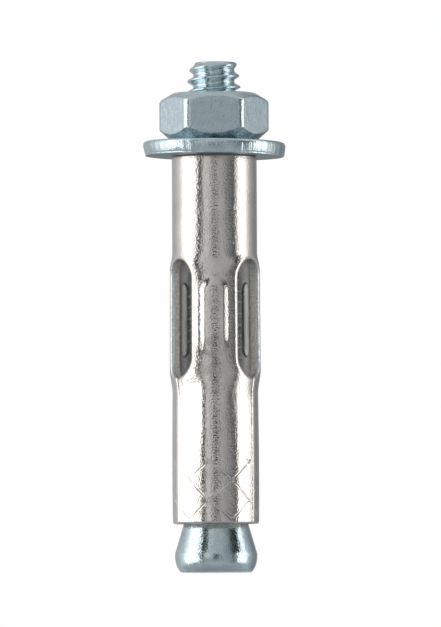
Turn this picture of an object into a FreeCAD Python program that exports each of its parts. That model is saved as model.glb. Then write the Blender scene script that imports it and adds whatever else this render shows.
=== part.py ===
import FreeCAD, Part
import math
import os

# Expansion anchor of the sleeve kind: a stud with a cone at its foot, a rolled sheet
# sleeve that the cone spreads in a drilled hole, a washer and a hexagon nut.
# Lengths are in millimetres, angles in degrees.
# The anchor stands on the flat end of its cone: +Z runs up the stud, and the origin is
# the middle of that flat end. Azimuth 0 faces -Y, and grows towards +X.

# Whole anchor
overall_length = 57.15          # 2 1/4 in from the flat end of the cone to the stud's tip
sleeve_diameter = 9.525         # 3/8 in, the size of the drilled hole
tip_above_nut = 3.55            # stud that stands out above the nut

# Stud
thread_diameter = 5.98          # outside the crests
thread_length = 33.5            # from the tip down
thread_run_out = 0.6            # taper from the thread's outside down to the shank
shank_diameter = 5.6
tip_diameter = 4.7              # end face, inside the thread's lead-in taper
tip_taper_length = 2.0

# Cone at the stud's foot
cone_inset = 0.16               # the widest point lies this far inside the sleeve's outside
cone_half_angle = 16.6
cone_crease_height = 2.25       # where the straight taper meets the rounded foot
foot_widest_height = 1.7
foot_radius = 2.58              # rounding of the foot, as seen in section

# Sleeve, rolled from one piece of sheet
sheet_thickness = 1.12
seat_clearance = 0.05           # between the sleeve's lower edge and the cone
top_rim_reach = 0.5             # how far the outer edge is worn round, in and down
bottom_rim_reach = 0.2
slit_width = 0.15               # hairline gap between two neighbouring legs, and at the seam
strip_count = 3

# Windows, the long round-ended openings between the strips
leg_length = 16.3               # from the sleeve's lower end to the windows
window_length = 13.2
window_angle = 54.0             # round the sleeve

# Swell, the wider stretch of the tube along the windows
swell_rise = 0.31               # of the strips between the windows above the tube
swell_inset = 0.85              # the full swell ends this far inside the windows' ends
swell_run_out = 1.8             # from there the sheet runs back to the tube

# Bead, the raised stiffener pressed outwards in the middle of each strip
bead_width = 3.16
bead_length = 9.15
bead_height = 0.18
bead_flank = 0.5                # width of the sloping side, seen from outside
bead_pocket_width = 1.5         # of the hollow that the punch leaves inside
bead_pocket_length = 8.2
bead_pocket_depth = 0.2

# Washer
washer_diameter = 16.0
washer_thickness = 1.6
washer_hole_clearance = 0.57    # round the thread
washer_top_rim_reach = 0.4      # rolled over by the punch
washer_bottom_rim_reach = 0.15

# Nut
nut_across_flats = 10.87        # 7/16 in nut at its lower tolerance
nut_height = 5.4
nut_corner_radius = 1.0
nut_running_clearance = 0.06    # round the thread
nut_top_circle = 9.2
nut_top_angle = 32.0
nut_bottom_circle = 9.3
nut_bottom_angle = 42.0
nut_countersink = 0.45

# Worked out from the sizes above
sleeve_radius = sleeve_diameter / 2
inner_radius = sleeve_radius - sheet_thickness
thread_radius = thread_diameter / 2
shank_radius = shank_diameter / 2
cone_slope = math.tan(math.radians(cone_half_angle))
foot_widest_radius = sleeve_radius - cone_inset
foot_arc_middle = foot_widest_radius - foot_radius


def foot_radius_at(height):
    """Radius of the rounded foot at a height above the flat end."""
    offset = height - foot_widest_height
    return foot_arc_middle + math.sqrt(foot_radius ** 2 - offset ** 2)


crease_radius = foot_radius_at(cone_crease_height)
seat_height = cone_crease_height + (crease_radius - inner_radius + seat_clearance) / cone_slope
cone_top_height = cone_crease_height + (crease_radius - shank_radius) / cone_slope

sleeve_bottom = seat_height
nut_top = overall_length - tip_above_nut
nut_bottom = nut_top - nut_height
washer_bottom = nut_bottom - washer_thickness
sleeve_top = washer_bottom
window_bottom = sleeve_bottom + leg_length
window_top = window_bottom + window_length
window_middle = (window_bottom + window_top) / 2


def polar(radius, azimuth, height):
    """Point at a radius and height, with the azimuth counted from -Y towards +X."""
    angle = math.radians(azimuth)
    return FreeCAD.Vector(radius * math.sin(angle), -radius * math.cos(angle), height)


def around_axis(shape, azimuth):
    """Copy of a shape, turned about the stud's axis by an azimuth."""
    turned = shape.copy()
    turned.rotate(FreeCAD.Vector(0, 0, 0), FreeCAD.Vector(0, 0, 1), azimuth)
    return turned


def lathe(edges):
    """Solid turned from a closed profile in the plane y = 0."""
    face = Part.Face(Part.Wire(edges))
    return face.revolve(FreeCAD.Vector(0, 0, 0), FreeCAD.Vector(0, 0, 1), 360)


def profile_point(radius, height):
    return FreeCAD.Vector(radius, 0, height)


def straight_profile(points):
    """Straight edges through the (radius, height) points, in order."""
    vectors = [profile_point(*point) for point in points]
    return [Part.LineSegment(a, b).toShape() for a, b in zip(vectors, vectors[1:])]


def make_stud():
    """Cone bolt: flat foot, rounded foot edge, straight taper, shank, thread and tip."""
    middle_height = cone_crease_height / 2
    foot_edge = Part.Arc(
        profile_point(foot_radius_at(0), 0),
        profile_point(foot_radius_at(middle_height), middle_height),
        profile_point(crease_radius, cone_crease_height),
    ).toShape()
    thread_start = overall_length - thread_length
    upper = straight_profile([
        (crease_radius, cone_crease_height),
        (shank_radius, cone_top_height),
        (shank_radius, thread_start - thread_run_out),
        (thread_radius, thread_start),
        (thread_radius, overall_length - tip_taper_length),
        (tip_diameter / 2, overall_length),
        (0, overall_length),
        (0, 0),
        (foot_radius_at(0), 0),
    ])
    return lathe([foot_edge] + upper)


def rolled_rim(outer, height, reach, side):
    """Profile points of a rim worn round in two bevels; side is -1 below, +1 above."""
    shallow = reach * (1 - math.sqrt(0.5))
    return [
        (outer - reach, height),
        (outer - shallow, height - side * shallow),
        (outer, height - side * reach),
    ]


def swell_profile(radius):
    """Profile points of one side of the sheet where it swells and runs back, from below."""
    full_bottom = window_bottom + swell_inset
    full_top = window_top - swell_inset
    return [
        (radius, full_bottom - swell_run_out),
        (radius + swell_rise, full_bottom),
        (radius + swell_rise, full_top),
        (radius, full_top + swell_run_out),
    ]


def rolled_sheet():
    """The sheet as a closed round tube, swollen along the windows, with worn outer rims."""
    bottom_rim = rolled_rim(sleeve_radius, sleeve_bottom, bottom_rim_reach, -1)
    top_rim = rolled_rim(sleeve_radius, sleeve_top, top_rim_reach, 1)
    return lathe(straight_profile([
        (inner_radius, sleeve_bottom),
        *bottom_rim,
        *swell_profile(sleeve_radius),
        *reversed(top_rim),
        (inner_radius, sleeve_top),
        *reversed(swell_profile(inner_radius)),
        (inner_radius, sleeve_bottom),
    ]))


def round_ended_outline(half_width, half_length, end_height, distance):
    """Upright outline with rounded ends at a distance in front of the axis, about z = 0."""
    straight = half_length - end_height
    corners = {
        (side, end): FreeCAD.Vector(side * half_width, -distance, end * straight)
        for side in (-1, 1)
        for end in (-1, 1)
    }
    edges = []
    for end in (1, -1):
        middle = FreeCAD.Vector(0, -distance, end * straight)
        long_axis = FreeCAD.Vector(half_width, 0, 0)
        high_axis = FreeCAD.Vector(0, 0, end * end_height)
        edges.append(half_round(middle, long_axis, high_axis))
    edges.append(Part.LineSegment(corners[(1, 1)], corners[(1, -1)]).toShape())
    edges.append(Part.LineSegment(corners[(-1, -1)], corners[(-1, 1)]).toShape())
    return Part.Wire(Part.__sortEdges__(edges))


def half_round(middle, along, up):
    """Half ellipse from middle - along, over middle + up, to middle + along."""
    if abs(along.Length - up.Length) < 1e-9:
        return Part.Arc(middle - along, middle + up, middle + along).toShape()
    if along.Length > up.Length:
        ellipse = Part.Ellipse(middle + along, middle + up, middle)
    else:
        ellipse = Part.Ellipse(middle + up, middle + along, middle)
    first = ellipse.parameter(middle - along)
    last = ellipse.parameter(middle + along)
    over = ellipse.parameter(middle + up)
    span = (last - first) % (2 * math.pi)
    if (over - first) % (2 * math.pi) > span:
        first, last = last, first
    if last < first:
        last += 2 * math.pi
    return Part.ArcOfEllipse(ellipse, first, last).toShape()


def window_cutter():
    """Round-ended cutter at azimuth 0 whose side walls stand square to the sheet."""
    widening = math.tan(math.radians(window_angle / 2))
    end_height = math.radians(window_angle / 2) * sleeve_radius
    distances = (inner_radius / 2, sleeve_radius * 1.5)
    outlines = [
        round_ended_outline(distance * widening, window_length / 2, end_height, distance)
        for distance in distances
    ]
    cutter = Part.makeLoft(outlines, True, True)
    cutter.translate(FreeCAD.Vector(0, 0, window_middle))
    return cutter


def slit_cutter(bottom, top):
    """Thin upright slot at azimuth 0 through one wall of the sheet."""
    depth = sleeve_radius * 1.5
    corner = FreeCAD.Vector(-slit_width / 2, -depth, bottom)
    return Part.makeBox(slit_width, depth - inner_radius / 2, top - bottom, corner)


def swell_cylinder(radius):
    """Upright cylinder about the axis, as long as a window."""
    base = FreeCAD.Vector(0, 0, window_bottom)
    return Part.makeCylinder(radius, window_length, base)


def tapered_obround(width, length, flank, near, far):
    """Round-ended block in front of the axis that narrows by its flank from near to far."""
    outlines = []
    for distance, inset in ((near, 0.0), (far, flank)):
        half_width = width / 2 - inset
        outlines.append(round_ended_outline(half_width, length / 2 - inset, half_width, distance))
    block = Part.makeLoft(outlines, True, True)
    block.translate(FreeCAD.Vector(0, 0, window_middle))
    return block


def bead_pad():
    """Raised bead on the outside of the strip at azimuth 0, with evenly sloping sides."""
    surface = sleeve_radius + swell_rise
    top = surface + bead_height
    foot_distance = math.sqrt(surface ** 2 - (bead_width / 2) ** 2)
    top_distance = math.sqrt(top ** 2 - (bead_width / 2 - bead_flank) ** 2)
    slope = bead_flank / (top_distance - foot_distance)
    near = foot_distance - sheet_thickness / 2
    far = top + bead_height
    width = bead_width + 2 * slope * (foot_distance - near)
    length = bead_length + 2 * slope * (surface - near)
    block = tapered_obround(width, length, slope * (far - near), near, far)
    sides = Part.makeBox(
        bead_width, far, window_length,
        FreeCAD.Vector(-bead_width / 2, -far, window_bottom),
    )
    return block.common(sides).common(swell_cylinder(top))


def bead_pocket():
    """Hollow behind the bead, inside the strip at azimuth 0."""
    block = tapered_obround(
        bead_pocket_width, bead_pocket_length, 0.0, inner_radius / 2, sleeve_radius,
    )
    return block.common(swell_cylinder(inner_radius + swell_rise + bead_pocket_depth))


def make_sleeve():
    """Rolled sleeve: split tube, windows, slits between the legs, strips and beads."""
    sheet = rolled_sheet()
    pitch = 360.0 / strip_count
    for index in range(strip_count):
        sheet = sheet.fuse(around_axis(bead_pad(), index * pitch))
        sheet = sheet.cut(around_axis(bead_pocket(), index * pitch))
    below = sleeve_bottom - sheet_thickness
    for index in range(strip_count):
        azimuth = (index + 0.5) * pitch
        sheet = sheet.cut(around_axis(window_cutter(), azimuth))
        sheet = sheet.cut(around_axis(slit_cutter(below, window_middle), azimuth))
    seam = slit_cutter(window_middle, sleeve_top + sheet_thickness)
    return sheet.cut(around_axis(seam, 180.0)).removeSplitter()


def make_washer():
    """Flat punched washer with a rolled-over upper rim and a sharper lower one."""
    washer_top = washer_bottom + washer_thickness
    outer = washer_diameter / 2
    hole = thread_radius + washer_hole_clearance
    bottom_rim = rolled_rim(outer, washer_bottom, washer_bottom_rim_reach, -1)
    top_rim = rolled_rim(outer, washer_top, washer_top_rim_reach, 1)
    return lathe(straight_profile([
        (hole, washer_bottom),
        *bottom_rim,
        *reversed(top_rim),
        (hole, washer_top),
        (hole, washer_bottom),
    ]))


def make_nut():
    """Hexagon nut with rounded corners, chamfered at both ends and countersunk."""
    corner_distance = nut_across_flats / math.sqrt(3)
    corners = [polar(corner_distance, 30.0 + 60.0 * side, nut_bottom) for side in range(7)]
    prism = Part.Face(Part.makePolygon(corners)).extrude(FreeCAD.Vector(0, 0, nut_height))
    upright = [edge for edge in prism.Edges if abs(edge.Length - nut_height) < 1e-6
               and abs(edge.tangentAt(edge.FirstParameter).z) > 0.99]
    prism = prism.makeFillet(nut_corner_radius, upright)

    def chamfer_drop(radius, circle, angle):
        return (radius - circle / 2) * math.tan(math.radians(angle))

    reach = corner_distance
    limits = lathe(straight_profile([
        (0, nut_bottom),
        (nut_bottom_circle / 2, nut_bottom),
        (reach, nut_bottom + chamfer_drop(reach, nut_bottom_circle, nut_bottom_angle)),
        (reach, nut_top - chamfer_drop(reach, nut_top_circle, nut_top_angle)),
        (nut_top_circle / 2, nut_top),
        (0, nut_top),
        (0, nut_bottom),
    ]))
    bore = thread_radius + nut_running_clearance
    mouth = bore + nut_countersink
    hole = lathe(straight_profile([
        (0, nut_bottom),
        (mouth, nut_bottom),
        (bore, nut_bottom + nut_countersink),
        (bore, nut_top - nut_countersink),
        (mouth, nut_top),
        (0, nut_top),
        (0, nut_bottom),
    ]))
    return prism.common(limits).cut(hole)


def main():
    os.makedirs("parts", exist_ok=True)
    pieces = {
        "stud": make_stud(),
        "sleeve": make_sleeve(),
        "washer": make_washer(),
        "hex_nut": make_nut(),
    }
    for name, shape in pieces.items():
        solid = shape.Solids[0]
        print(name, "solids", len(shape.Solids), "valid", solid.isValid(),
              "volume", round(solid.Volume, 2), "faces", len(solid.Faces))
        solid.exportStep(f"parts/{name}.step")


main()
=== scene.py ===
import math
from itertools import groupby

import bmesh
import bpy
import numpy as np
from mathutils import Matrix, Vector
from mathutils.geometry import delaunay_2d_cdt
from mathutils.kdtree import KDTree


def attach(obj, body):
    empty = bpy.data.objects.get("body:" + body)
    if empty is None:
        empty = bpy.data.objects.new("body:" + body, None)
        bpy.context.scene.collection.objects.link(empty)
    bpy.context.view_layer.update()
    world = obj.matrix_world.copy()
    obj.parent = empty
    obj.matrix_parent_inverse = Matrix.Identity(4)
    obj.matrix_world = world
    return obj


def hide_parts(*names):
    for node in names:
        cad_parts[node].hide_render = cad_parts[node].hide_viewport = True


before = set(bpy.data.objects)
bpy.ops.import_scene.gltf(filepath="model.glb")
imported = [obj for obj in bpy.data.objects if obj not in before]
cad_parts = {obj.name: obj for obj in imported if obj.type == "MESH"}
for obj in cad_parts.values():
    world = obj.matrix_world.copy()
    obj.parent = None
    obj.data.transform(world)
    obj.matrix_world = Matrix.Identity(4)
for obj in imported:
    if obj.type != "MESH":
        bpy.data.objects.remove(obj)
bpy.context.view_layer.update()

# The part is worked out in millimetres, in the frame of the CAD model, and written in metres. The
# room, floor and camera are in metres. On the sleeve and in the room an azimuth is counted from -Y
# towards +X, as in the CAD model. On the stud, washer and nut an angle is counted from +X towards +Y.
MM = 0.001
FULL_TURN = 2.0 * math.pi

# Thread, drawn in at the tip and running out above the plain shank
TIP = 57.15
TIP_EDGE = 0.12
TIP_CREST_RADIUS = 2.52
PITCH = 1.27
THREAD_DEPTH = 0.69
CREST_RADIUS = 2.99
ROOT_RADIUS = 2.30
CREST_HEIGHT_AT_X = 54.39
THREAD_END = 22.6

# Thread form over one pitch: offset along the axis from the middle of a crest, and depth
THREAD_CORNERS = (
    (0.0, 0.0), (0.085, 0.0), (0.485, THREAD_DEPTH), (0.785, THREAD_DEPTH), (1.185, 0.0), (PITCH, 0.0),
)
THREAD_ROUNDING = (0.055, 0.11, 0.11, 0.055)

# Shank, cone and foot
SHANK_RADIUS = 2.8
CONE_TOP = 8.1
CREASE_RADIUS = 4.56
CREASE_HEIGHT = 2.25
FOOT_RADIUS = 4.603
FOOT_WIDEST = 2.0

# Rings of the stud's mesh, by height or by radius and height. At the tip they go by the drop below
# it and the share of the last ring's radii, and in the bend by the way out from the shank and up
# from the cone's top.
TIP_RINGS = ((0.05, 0.985), (0.015, 0.97), (0.0, 0.965), (0.0, 0.78), (0.0, 0.6), (0.0, 0.4))
SHANK_RINGS = (20.0, 16.0, 12.0, 9.0)
BEND_RINGS = ((0.0, 0.3), (0.02, 0.1), (0.07, -0.1))
CONE_RINGS = (7.6, 7.1, 6.6, 6.1, 5.6, 5.2, 4.8, 4.4, 4.0, 3.6, 3.2, 2.8, 2.5, 2.36, 2.30)
CREASE_RINGS = ((CREASE_RADIUS, CREASE_HEIGHT), (CREASE_RADIUS + 0.022, 2.2), (FOOT_RADIUS - 0.004, 2.1))
FOOT_RINGS = (2.0, 1.85, 1.7, 1.5, 1.3, 1.1, 0.9, 0.7, 0.55, 0.42, 0.3, 0.2, 0.14)
END_RINGS = ((4.01, 0.07), (3.95, 0.02), (3.86, 0.0), (3.6, 0.0), (2.8, 0.0), (1.8, 0.0), (0.8, 0.0))
STUD_COLUMNS = 96
THREAD_TURNS = 30
TURNS_BELOW_CREST = 27

# Washer
WASHER_BOTTOM = 46.6
WASHER_TOP = 48.2
WASHER_MIDDLE = (WASHER_BOTTOM + WASHER_TOP) / 2.0
WASHER_RADIUS = 8.0
WASHER_HOLE = 3.56
WASHER_ROUNDING = (0.1, 0.28, 0.5, 0.12)
WASHER_FACE_RADIUS = 7.6
WASHER_COLUMNS = 900
WASHER_STEP = 0.55

# Nut
NUT_BOTTOM = 48.2
NUT_TOP = 53.7
NUT_FLAT = 5.435
NUT_CORNER = 1.0
NUT_FLAT_ANGLE = 25.23
NUT_LOWER_FACE = 4.65
NUT_UPPER_FACE = 4.6
NUT_FACE_MIDDLE = 3.9
NUT_LOWER_BEVEL = 42.0
NUT_UPPER_BEVEL = 32.0
NUT_ROUNDING = (0.12, 0.16, 0.24, 0.3)
NUT_MOUTH = 3.5
BORE_CLEARANCE = 0.06
BORE_ROWS = 79
FLAT_COLUMNS = 24
CORNER_COLUMNS = 10

# Sleeve
TUBE_RADIUS = 4.7625
SHEET = 1.12
SLEEVE_BOTTOM = 5.44
SLEEVE_TOP = 46.6
WINDOW_MIDDLE = 28.34
WINDOW_LENGTH = 13.2
WINDOW_RADIUS = TUBE_RADIUS * math.radians(27.0)
ARC_LOW = WINDOW_MIDDLE - WINDOW_LENGTH / 2 + WINDOW_RADIUS
ARC_HIGH = WINDOW_MIDDLE + WINDOW_LENGTH / 2 - WINDOW_RADIUS
HALF_TURN = TUBE_RADIUS * math.pi
SLIT_HALF = 0.07
LEFT_WINDOW = -HALF_TURN / 3
LEFT_SLIT = LEFT_WINDOW + 0.12
RIGHT_WINDOW = HALF_TURN / 3 - 0.08
RIGHT_SLIT = HALF_TURN / 3 - 0.17
# Middles of each window and of the slit below it. The seam cuts one in half, which comes twice.
OPENINGS = (
    (LEFT_WINDOW, LEFT_SLIT), (RIGHT_WINDOW, RIGHT_SLIT), (HALF_TURN, HALF_TURN), (-HALF_TURN, -HALF_TURN),
)
# Width of the edge's roll-over, by the edge it runs along, and its depth as a share of its width
ROLL_WINDOW = 0.5
ROLL_SLIT = 0.32
ROLL_FRONT_SLIT = 0.15
ROLL_BOTTOM = 0.24
ROLL_TOP = 0.22
ROLL_STEEPNESS = 0.6
ROLL_ROWS = 6
# Rows down the sheared edge below the roll: inset into the sheet, and depth below the outer face
WALL_ROWS = ((0.0, 0.58), (0.03, 0.63), (0.045, 1.0), (0.06, 1.08))
BACK_INSET = 0.11
# Radii of the corners between slit and window, between slit and bottom edge, and at the top edge
CORNER_WINDOW = 0.45
CORNER_BOTTOM = 0.34
CORNER_TOP = 0.6
LINE_STEP = 0.22
ARC_STEP = 0.2
SAME_PLACE = 1e-5

# Swell of the strips between the windows, and the narrower neck above it
STRIP_SWELL = 0.31
STRIP_LEAN = 0.005
NECK = 0.06

# Legs: how far they stand outside the round tube beside the slits and in the middle, by height
LEG_SIDES = ((5.44, 6.2, 8.0, 13.6, 19.0, 20.5, 22.0), (0.055, 0.067, 0.092, 0.092, 0.045, 0.025, 0.0))
LEG_MIDDLE = ((5.44, 18.5, 20.0, 22.0), (0.03, 0.11, 0.09, 0.0))
DRAW_SLOPE = 0.32
FLARE_SLOPE = 0.8
NEIGHBOUR_DRAW = 0.13
FRONT_BEND = 0.067

# Beads and the hollows behind them: width and length, a little to the left of the strips' middles
BEAD = (3.07, 9.15)
POCKET = (1.72, 8.2)
BEAD_OFFSET = 0.095
BEAD_HEIGHT = 0.21
POCKET_DEPTH = 0.13
BEAD_LOOPS = (-0.47, -0.36, -0.25, -0.15, -0.07, 0.02, 0.1, 0.2, 0.3, 0.4, 0.5, 0.65, 0.85, 1.1)
POCKET_LOOPS = (-0.14, -0.05, 0.02, 0.09)
LOOP_STEP = 0.26

# Scored lattice round the legs: rows of nodes, joined crosswise to the neighbouring rows
SCORE_ROWS = (12.30, 10.26, 7.96, 5.85)
SCORE_AZIMUTHS = (-9.5, -38.5)
SCORE_SPACING = 60.0
SCORE_WANDER = 0.06
SCORE_LONGEST = 3.5
SCORE_TOP = 13.4
SCORE_WIDTH = 0.06
SCORE_DEPTH = 0.045
BURR_HEIGHT = 0.010
SCORE_SIDE_LINES = (-0.27, -0.19, -0.12, -0.06, 0.0, 0.06, 0.12, 0.19, 0.27)

# Camera at the photograph's angle: straight in front, a little below the middle of the part
CAMERA_TARGET = (0.000616, 0.0, 0.02898)
CAMERA_PLACE = (0.000616, -1.0, -0.017)
CAMERA_LEAN = math.radians(0.29)
CAMERA_LENS = 513.3

# Studio: how bright the room is at each azimuth, from straight behind the part round by its left.
# The two broad bright stretches are soft boxes, the darker ones walls and gaps.
ROOM_RADIUS = 6.0
ROOM_PEAK = 1.6
ROOM_LEVELS = (
    (-180, 0.55), (-144, 0.45), (-128, 0.56), (-112, 0.72), (-100, 1.05), (-95, 1.60),
    (-50.5, 1.60), (-49, 0.30), (-47, 0.08), (-36, 0.06), (-33, 0.45), (-31, 0.66), (-24, 0.68),
    (-18, 0.63), (-12, 0.51), (0, 0.45), (16, 0.44), (24, 0.39), (34, 0.31), (44.5, 0.29),
    (47, 0.15), (61, 0.15), (63, 0.45), (64.5, 1.60), (92, 1.60), (98, 0.92), (106, 0.60),
    (116, 0.42), (128, 0.32), (144, 0.22), (160, 0.30), (180, 0.55),
)
# Patches over it: azimuths, heights and level. They are dark flags over the right soft box, in the
# gap beside it and in the left gap, and the edge of the table, low down in front.
ROOM_PATCHES = (
    (53, 80, 0.295, 0.69, 0.04),
    (31, 61, 0.10, 0.26, 0.08),
    (-52, -27, 0.38, 0.58, 0.03),
    (-47, 47, -0.40, -0.13, 0.36),
)
BOX_FEET = ((-85, -35, -0.42, -0.37, 0.08), (45, 90, -0.42, -0.37, 0.08))
# Dark stand in front, where a photographer would be: half width, height of its middle, half height
STAND = (0.135, -0.058, 0.099)
STAND_LEVEL = 0.02
CEILING_LEVEL = 0.55
GROUND_LEVELS = (0.46, 0.32)
FLOOR_REACH = 3.0
FLOOR_HEIGHT = -0.00002


def smoothstep(low, high, value):
    t = np.clip((value - low) / (high - low), 0.0, 1.0)
    return t * t * (3.0 - 2.0 * t)


def hump(rise, fall, value):
    """One between two ranges, rising over the first of them and falling over the second."""
    return smoothstep(*rise, value) * (1.0 - smoothstep(*fall, value))


def smooth_min(a, b, k):
    h = np.clip(0.5 + 0.5 * (b - a) / k, 0.0, 1.0)
    return b * (1.0 - h) + a * h - k * h * (1.0 - h)


def ring_noise(angles, seed, waves, falloff=0.5):
    """Smooth random curve round a circle, between about -1 and 1."""
    rng = np.random.default_rng(seed)
    total = np.zeros_like(angles)
    power = 0.0
    for wave in waves:
        size = float(wave) ** -falloff
        total += size * np.sin(wave * angles + rng.uniform(0.0, FULL_TURN))
        power += size * size
    return total / math.sqrt(power)


def add_object(name, data):
    obj = bpy.data.objects.new(name, data)
    bpy.context.scene.collection.objects.link(obj)
    return obj


def make_object(name, points, faces, body, materials, replaced, kinds=None):
    """Mesh object from millimetre points, riding on a body in place of a CAD node.

    The kinds say which of the materials each face has.
    """
    mesh = bpy.data.meshes.new(name)
    mesh.from_pydata((np.asarray(points) * MM).tolist(), [], faces)
    for material in materials:
        mesh.materials.append(material)
    mesh.polygons.foreach_set("use_smooth", [True] * len(faces))
    if kinds is not None:
        mesh.polygons.foreach_set("material_index", kinds)
    mesh.update()
    obj = add_object(name, mesh)
    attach(obj, body)
    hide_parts(replaced)
    return mesh


def fillet(points, radii, steps=3):
    """Round the inner corners of an open (x, y) polyline, each within its own reach."""
    out = [points[0]]
    for before, corner, after, reach in zip(points, points[1:], points[2:], radii):
        corner = np.array(corner, float)
        toward_before = np.array(before, float) - corner
        toward_after = np.array(after, float) - corner
        start = corner + toward_before / np.linalg.norm(toward_before) * reach
        end = corner + toward_after / np.linalg.norm(toward_after) * reach
        for k in range(steps):
            t = k / (steps - 1)
            out.append(tuple((1 - t) ** 2 * start + 2 * t * (1 - t) * corner + t * t * end))
    out.append(points[-1])
    return out


def closed_grid(points):
    """Quads of a grid of (column, row) points that is closed both ways."""
    columns, rows = points.shape[:2]
    faces = []
    for column in range(columns):
        a = column * rows
        b = (column + 1) % columns * rows
        faces += [(a + r, b + r, b + (r + 1) % rows, a + (r + 1) % rows) for r in range(rows)]
    return faces


def thread_profile():
    """Sixteen (offset, depth) points over one pitch, with rolled crests and roots."""
    points = fillet(THREAD_CORNERS, THREAD_ROUNDING)[:-1]
    for k in range(1, 4):
        middle = (np.array(THREAD_CORNERS[k]) + THREAD_CORNERS[k + 1]) / 2.0
        points.insert(4 * k, tuple(middle))
    return points


def thread_depth(offset):
    """Depth of the thread at offsets along the axis from a crest."""
    offsets, depths = zip(*thread_profile(), (PITCH, 0.0))
    return np.interp(np.mod(offset, PITCH), offsets, depths)


def thread_grid():
    """Points and faces of the thread: a helical grid whose last column joins the first a turn on."""
    profile = thread_profile()
    per_turn = len(profile)
    levels = per_turn * THREAD_TURNS
    angle = np.arange(STUD_COLUMNS)[:, None] * FULL_TURN / STUD_COLUMNS
    turn, step = np.divmod(np.arange(levels + 1), per_turn)
    offset, depth = np.array(profile)[step].T
    offset = offset + PITCH * turn
    first_crest = CREST_HEIGHT_AT_X - TURNS_BELOW_CREST * PITCH
    height = first_crest + offset + PITCH * angle / FULL_TURN
    # Both the crests and the roots draw in towards the tip, and rolling leaves the crests uneven
    share = depth / THREAD_DEPTH
    crest = smooth_min(TIP_CREST_RADIUS + 0.23 * (TIP - height), CREST_RADIUS, 0.1)
    root = ROOT_RADIUS - 0.42 * np.maximum(height - 56.6, 0.0)
    uneven = ring_noise(height * 2.1 + angle, 4, (1, 2, 3, 5)) * 0.008
    radius = crest - (crest - root) * share + uneven * (1.0 - share)
    radius = SHANK_RADIUS + (radius - SHANK_RADIUS) * smoothstep(23.0, 24.4, height)
    points = np.stack([radius * np.cos(angle), radius * np.sin(angle), height], axis=-1).reshape(-1, 3)
    faces = []
    for column in range(STUD_COLUMNS):
        a = column * (levels + 1)
        last = column == STUD_COLUMNS - 1
        b, count = (per_turn, levels - per_turn) if last else (a + levels + 1, levels)
        faces += [(a + k, b + k, b + k + 1, a + k + 1) for k in range(count)]
    return points, faces


def lower_rings():
    """Radius and height of each ring of the stud below its thread, down to the flat end."""
    rings = [(SHANK_RADIUS, height) for height in SHANK_RINGS]
    rings += [(SHANK_RADIUS + out, CONE_TOP + up) for out, up in BEND_RINGS]
    slope = (CREASE_RADIUS - SHANK_RADIUS) / (CONE_TOP - CREASE_HEIGHT)
    rings += [(CREASE_RADIUS - (height - CREASE_HEIGHT) * slope, height) for height in CONE_RINGS]
    rings += CREASE_RINGS
    rings += [(FOOT_RADIUS - 0.098 * (FOOT_WIDEST - height) ** 2.71, height) for height in FOOT_RINGS]
    return rings + list(END_RINGS)


def make_stud(materials):
    """Cone bolt with its real rolled thread: a helical grid, cut square and closed at both ends."""
    points, faces = thread_grid()
    bm = bmesh.new()
    verts = [bm.verts.new(point) for point in points]
    for face in faces:
        bm.faces.new([verts[k] for k in face])
    for cut, upward in ((THREAD_END, -1), (TIP - TIP_EDGE, 1)):
        geometry = bm.verts[:] + bm.edges[:] + bm.faces[:]
        bmesh.ops.bisect_plane(
            bm, geom=geometry, dist=1e-6, plane_co=(0, 0, cut), plane_no=(0, 0, upward), clear_outer=True,
        )

    def ring_at(height):
        """The open edges that lie at a height."""
        return [e for e in bm.edges if e.is_boundary and all(abs(v.co.z - height) < 1e-4 for v in e.verts)]

    def pull(edges, height, radius=None, share=1.0):
        """Extrude a closed ring of edges to a height, and to a radius or a share of its own radii."""
        made = bmesh.ops.extrude_edge_only(bm, edges=edges)["geom"]
        for v in made:
            if isinstance(v, bmesh.types.BMVert):
                scale = radius / math.hypot(v.co.x, v.co.y) if radius else share
                v.co = (v.co.x * scale, v.co.y * scale, height)
        return [e for e in made if isinstance(e, bmesh.types.BMEdge)]

    # Tip: a small rolled edge that follows the last crest and root, and a flat sheared end
    edges = ring_at(TIP - TIP_EDGE)
    for drop, share in TIP_RINGS:
        edges = pull(edges, TIP - drop, share=share)
    bmesh.ops.edgeloop_fill(bm, edges=edges)

    # Shank, cone and foot
    edges = ring_at(THREAD_END)
    for radius, height in lower_rings():
        edges = pull(edges, height, radius=radius)
    bmesh.ops.edgeloop_fill(bm, edges=edges)
    bmesh.ops.recalc_face_normals(bm, faces=bm.faces[:])
    bm.verts.index_update()
    points = [v.co[:] for v in bm.verts]
    faces = [[v.index for v in face.verts] for face in bm.faces]
    bm.free()
    make_object("coned_stud", points, faces, "cone_bolt", materials, "stud")


def washer_profile():
    """Closed section of the washer from the middle of its hole: corners rounded, straights divided."""
    corners = [
        (WASHER_HOLE, WASHER_MIDDLE), (WASHER_HOLE, WASHER_BOTTOM), (WASHER_RADIUS, WASHER_BOTTOM),
        (WASHER_RADIUS, WASHER_TOP), (WASHER_HOLE, WASHER_TOP), (WASHER_HOLE, WASHER_MIDDLE),
    ]
    rounded = np.array(fillet(corners, WASHER_ROUNDING, steps=7)[:-1])
    spread = []
    for a, b in zip(rounded, np.roll(rounded, -1, axis=0)):
        parts = max(1, round(math.dist(a, b) / WASHER_STEP))
        spread += [a + (b - a) * k / parts for k in range(parts)]
    return np.array(spread)


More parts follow.
